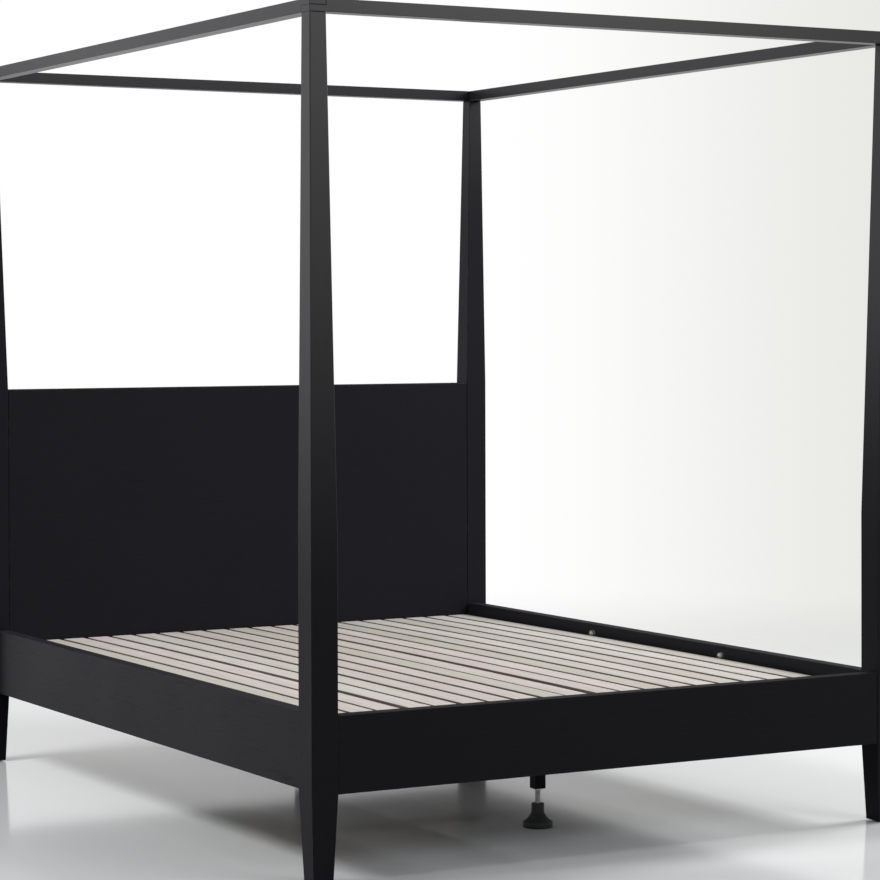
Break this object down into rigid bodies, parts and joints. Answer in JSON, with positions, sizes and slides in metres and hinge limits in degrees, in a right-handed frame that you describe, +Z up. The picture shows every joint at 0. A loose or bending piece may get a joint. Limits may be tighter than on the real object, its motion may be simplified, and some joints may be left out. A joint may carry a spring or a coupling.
{
  "type": "canopy bed",
  "caption": "Four-poster canopy bed frame with tapered posts, a square canopy frame of slim rails, a plain headboard and a lengthwise slat deck",
  "frame": {"origin": "middle of the footprint on the floor", "axes": "+Z up, +Y towards the head end, +X to the right when looking towards the head end"},
  "size_m": [1.676, 2.15, 2.01],
  "materials": {
    "black_lacquer": "satin black lacquer on wood",
    "pale_slat_wood": "pale bare birch, lightly sanded",
    "bare_pine": "planed softwood, unfinished",
    "dowel_wood": "fluted beech dowel stock",
    "tape_fabric": "woven cotton tape",
    "zinc_steel": "bright zinc plate",
    "black_plastic": "moulded black plastic"
  },
  "bodies": {
    "frame": {"bracket_screws": "zinc_steel", "canopy_corner_dowels": "dowel_wood", "canopy_corner_screws": "zinc_steel", "canopy_rail_foot": "black_lacquer", "canopy_rail_head": "black_lacquer", "canopy_rail_left": "black_lacquer", "canopy_rail_right": "black_lacquer", "centre_beam": "bare_pine", "centre_beam_brackets": "zinc_steel", "centre_leg_foot": "black_lacquer", "centre_leg_head": "black_lacquer", "crossbeam_foot": "bare_pine", "crossbeam_hangers": "zinc_steel", "crossbeam_head": "bare_pine", "foot_rail": "black_lacquer", "hanger_bolts": "zinc_steel", "head_rail": "black_lacquer", "headboard_dowels": "dowel_wood", "headboard_panel": "black_lacquer", "ledge_screws": "zinc_steel", "leg_inserts": "zinc_steel", "leg_lag_screws": "zinc_steel", "post_foot_left": "black_lacquer", "post_foot_right": "black_lacquer", "post_glides": "black_plastic", "post_head_left": "black_lacquer", "post_head_right": "black_lacquer", "rail_bolt_nuts": "zinc_steel", "rail_bolt_washers": "zinc_steel", "rail_bolts": "zinc_steel", "side_rail_left": "black_lacquer", "side_rail_right": "black_lacquer", "slat_01": "pale_slat_wood", "slat_02": "pale_slat_wood", "slat_03": "pale_slat_wood", "slat_04": "pale_slat_wood", "slat_05": "pale_slat_wood", "slat_06": "pale_slat_wood", "slat_07": "pale_slat_wood", "slat_08": "pale_slat_wood", "slat_09": "pale_slat_wood", "slat_10": "pale_slat_wood", "slat_11": "pale_slat_wood", "slat_12": "pale_slat_wood", "slat_13": "pale_slat_wood", "slat_14": "pale_slat_wood", "slat_15": "pale_slat_wood", "slat_16": "pale_slat_wood", "slat_17": "pale_slat_wood", "slat_18": "pale_slat_wood", "slat_19": "pale_slat_wood", "slat_20": "pale_slat_wood", "slat_ledge_foot": "bare_pine", "slat_ledge_head": "bare_pine", "slat_tapes": "tape_fabric"},
    "foot_pad": {"levelling_pad_foot": "black_plastic"},
    "foot_rod": {"levelling_rod_foot": "zinc_steel"},
    "head_pad": {"levelling_pad_head": "black_plastic"},
    "head_rod": {"levelling_rod_head": "zinc_steel"}
  },
  "joints": [
    {"name": "foot_pad_lift", "type": "slide", "parent": "frame", "child": "foot_pad", "axis": [0, 0, 1], "range_m": [0, 0.03]},
    {"name": "foot_rod_turn", "type": "hinge", "parent": "foot_pad", "child": "foot_rod", "pos_m": [0, -0.6802, 0], "axis": [0, 0, 1], "range_deg": [0, 5401]},
    {"name": "head_pad_lift", "type": "slide", "parent": "frame", "child": "head_pad", "axis": [0, 0, 1], "range_m": [0, 0.03]},
    {"name": "head_rod_turn", "type": "hinge", "parent": "head_pad", "child": "head_rod", "pos_m": [0, 0.6517, 0], "axis": [0, 0, 1], "range_deg": [0, 5401]}
  ],
  "couplings": [
    {"joint": "foot_rod_turn", "follows": "foot_pad_lift", "rad_per_m": 3141.6},
    {"joint": "head_rod_turn", "follows": "head_pad_lift", "rad_per_m": 3141.6}
  ]
}
